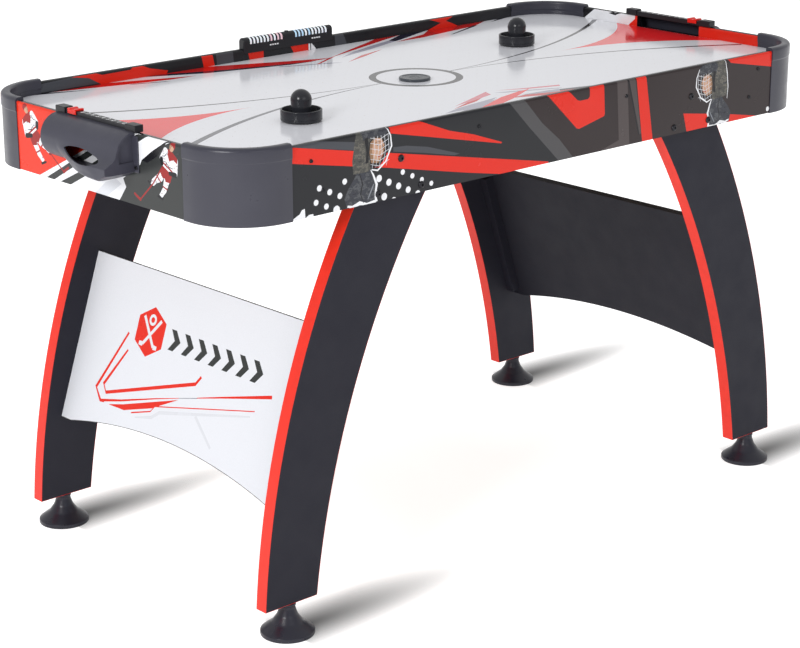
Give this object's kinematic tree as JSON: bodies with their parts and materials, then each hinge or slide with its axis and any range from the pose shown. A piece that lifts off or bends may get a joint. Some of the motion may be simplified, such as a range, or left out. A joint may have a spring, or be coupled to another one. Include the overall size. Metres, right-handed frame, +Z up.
{
  "type": "air hockey table",
  "caption": "Home air hockey table with printed cabinet, rounded corners, curved legs, sloping end panels, goal catch boxes, slide and electronic scorers, strikers and puck.",
  "frame": {"origin": "floor level under the middle of the table", "axes": "+X along the table towards the right end, +Y across it towards the electronic scorer, +Z up"},
  "size_m": [1.49, 0.725, 0.8352],
  "materials": {
    "printed_board": "MDF with glossy printed paper film",
    "corner_plastic": "moulded, satin",
    "red_edging": "PVC edge strip, satin",
    "black_bolt": "black oxide",
    "zinc_steel": "zinc plated",
    "leg_laminate": "MDF with charcoal film, satin",
    "foot_plastic": "moulded, satin",
    "panel_laminate": "MDF, white film outside, charcoal inside",
    "cleat_laminate": "charcoal film",
    "playfield_laminate": "MDF with glossy white lacquered film",
    "bare_board": "bare hardboard",
    "softwood": "planed",
    "blower_plastic": "moulded",
    "black_plastic": "moulded, satin",
    "red_plastic": "moulded, glossy",
    "light_lens": "translucent white",
    "puck_plastic": "moulded",
    "felt": "pressed felt",
    "gloss_black": "moulded, glossy"
  },
  "bodies": {
    "table": {"air_rail_back": "softwood", "air_rail_front": "softwood", "air_rail_left": "softwood", "air_rail_right": "softwood", "air_tray": "bare_board", "blower_grille": "blower_plastic", "blower_housing": "blower_plastic", "blower_motor": "zinc_steel", "cleat_back_left": "cleat_laminate", "cleat_back_right": "cleat_laminate", "cleat_front_left": "cleat_laminate", "cleat_front_right": "cleat_laminate", "corner_back_left": "corner_plastic", "corner_back_right": "corner_plastic", "corner_front_left": "corner_plastic", "corner_front_right": "corner_plastic", "end_board_left": "printed_board", "end_board_right": "printed_board", "end_panel_left": "panel_laminate", "end_panel_right": "panel_laminate", "goal_box_left": "corner_plastic", "goal_box_right": "corner_plastic", "leg_back_left": "leg_laminate", "leg_back_right": "leg_laminate", "leg_bolts": "black_bolt", "leg_edging_back_left": "red_edging", "leg_edging_back_right": "red_edging", "leg_edging_front_left": "red_edging", "leg_edging_front_right": "red_edging", "leg_front_left": "leg_laminate", "leg_front_right": "leg_laminate", "leg_inserts": "zinc_steel", "long_board_back": "printed_board", "long_board_front": "printed_board", "panel_screws": "black_bolt", "playfield": "playfield_laminate", "score_rail_left": "black_plastic", "score_rail_right": "black_plastic", "scorer_housing": "black_plastic", "scorer_lights_left": "light_lens", "scorer_lights_right": "light_lens", "switch_plate": "black_plastic"},
    "foot_front_left_unit": {"foot_front_left": "foot_plastic", "foot_stud_front_left": "zinc_steel"},
    "foot_front_right_unit": {"foot_front_right": "foot_plastic", "foot_stud_front_right": "zinc_steel"},
    "foot_back_left_unit": {"foot_back_left": "foot_plastic", "foot_stud_back_left": "zinc_steel"},
    "foot_back_right_unit": {"foot_back_right": "foot_plastic", "foot_stud_back_right": "zinc_steel"},
    "pusher_left_unit": {"pusher_left": "gloss_black", "pusher_felt_left": "felt"},
    "pusher_right_unit": {"pusher_right": "gloss_black", "pusher_felt_right": "felt"},
    "puck_unit": {"puck": "puck_plastic"},
    "slider_left_unit": {"score_slider_left": "red_plastic"},
    "slider_right_unit": {"score_slider_right": "red_plastic"},
    "button_unit": {"scorer_button": "black_plastic"},
    "impeller_unit": {"blower_impeller": "blower_plastic"},
    "rocker_unit": {"rocker_switch": "black_plastic"}
  },
  "joints": [
    {"name": "foot_front_left_height", "type": "slide", "parent": "table", "child": "foot_front_left_unit", "axis": [0, 0, 1], "range_m": [-0.01, 0]},
    {"name": "foot_front_right_height", "type": "slide", "parent": "table", "child": "foot_front_right_unit", "axis": [0, 0, 1], "range_m": [-0.01, 0]},
    {"name": "foot_back_left_height", "type": "slide", "parent": "table", "child": "foot_back_left_unit", "axis": [0, 0, 1], "range_m": [-0.01, 0]},
    {"name": "foot_back_right_height", "type": "slide", "parent": "table", "child": "foot_back_right_unit", "axis": [0, 0, 1], "range_m": [-0.01, 0]},
    {"name": "pusher_left_slide", "type": "slide", "parent": "table", "child": "pusher_left_unit", "axis": [1, 0, 0], "range_m": [-0.25, 0.33]},
    {"name": "pusher_right_slide", "type": "slide", "parent": "table", "child": "pusher_right_unit", "axis": [1, 0, 0], "range_m": [-0.306, 0.274]},
    {"name": "puck_slide", "type": "slide", "parent": "table", "child": "puck_unit", "axis": [1, 0, 0], "range_m": [-0.64, 0.672]},
    {"name": "score_slider_left_slide", "type": "slide", "parent": "table", "child": "slider_left_unit", "axis": [0, 1, 0], "range_m": [-0.1335, 0.0075]},
    {"name": "score_slider_right_slide", "type": "slide", "parent": "table", "child": "slider_right_unit", "axis": [0, 1, 0], "range_m": [-0.0075, 0.1335]},
    {"name": "scorer_button_press", "type": "slide", "parent": "table", "child": "button_unit", "axis": [0, 0, 1], "range_m": [-0.001, 0], "stiffness_N_per_m": 600, "springref_m": 0.0015},
    {"name": "impeller_spin", "type": "hinge", "parent": "table", "child": "impeller_unit", "pos_m": [0, 0, 0.722], "axis": [0, 0, 1], "continuous": true},
    {"name": "rocker_tip", "type": "hinge", "parent": "table", "child": "rocker_unit", "pos_m": [0.294, 0.3394, 0.742], "axis": [0, 0, 1], "range_deg": [-14, 0]}
  ]
}
